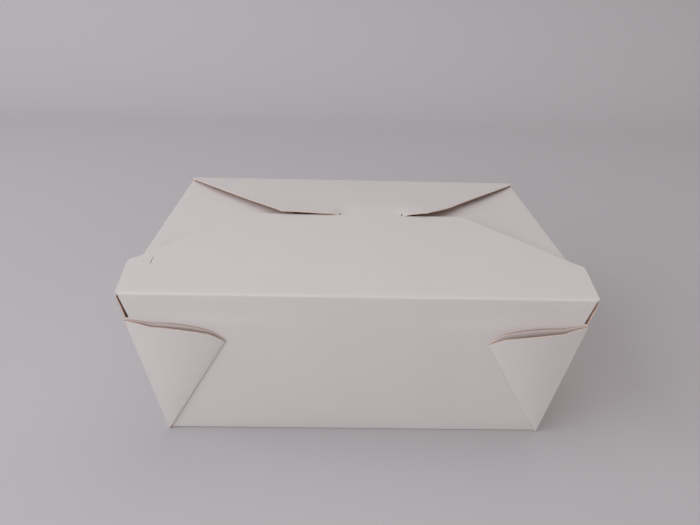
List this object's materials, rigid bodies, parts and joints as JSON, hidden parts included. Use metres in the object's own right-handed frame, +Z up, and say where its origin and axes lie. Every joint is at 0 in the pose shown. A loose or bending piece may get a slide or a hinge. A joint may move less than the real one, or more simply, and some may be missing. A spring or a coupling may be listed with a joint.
{
  "type": "takeout food box",
  "caption": "Folded card takeout box: flared tray with corner gussets laid on its long walls, infolded end flaps, a front lid flap, and a hinged back flap whose tongue locks under it.",
  "frame": {"origin": "centre of the flat base, on the surface that the box stands on", "axes": "+Z up, +X along the long walls, -Y towards the front wall, whose lid flap lies under the other's shoulders"},
  "size_m": [0.2278, 0.1652, 0.0959],
  "materials": {
    "coated_card": "white coated paperboard, smooth matt to satin, warmer at its cut edges"
  },
  "bodies": {
    "carton": {"carton": "coated_card"},
    "back_flap": {"back_flap": "coated_card"}
  },
  "joints": [
    {"name": "back_flap_crease", "type": "hinge", "parent": "carton", "child": "back_flap", "pos_m": [0, 0.08225, 0.08875], "axis": [-1, 0, 0], "range_deg": [0, 180]}
  ]
}
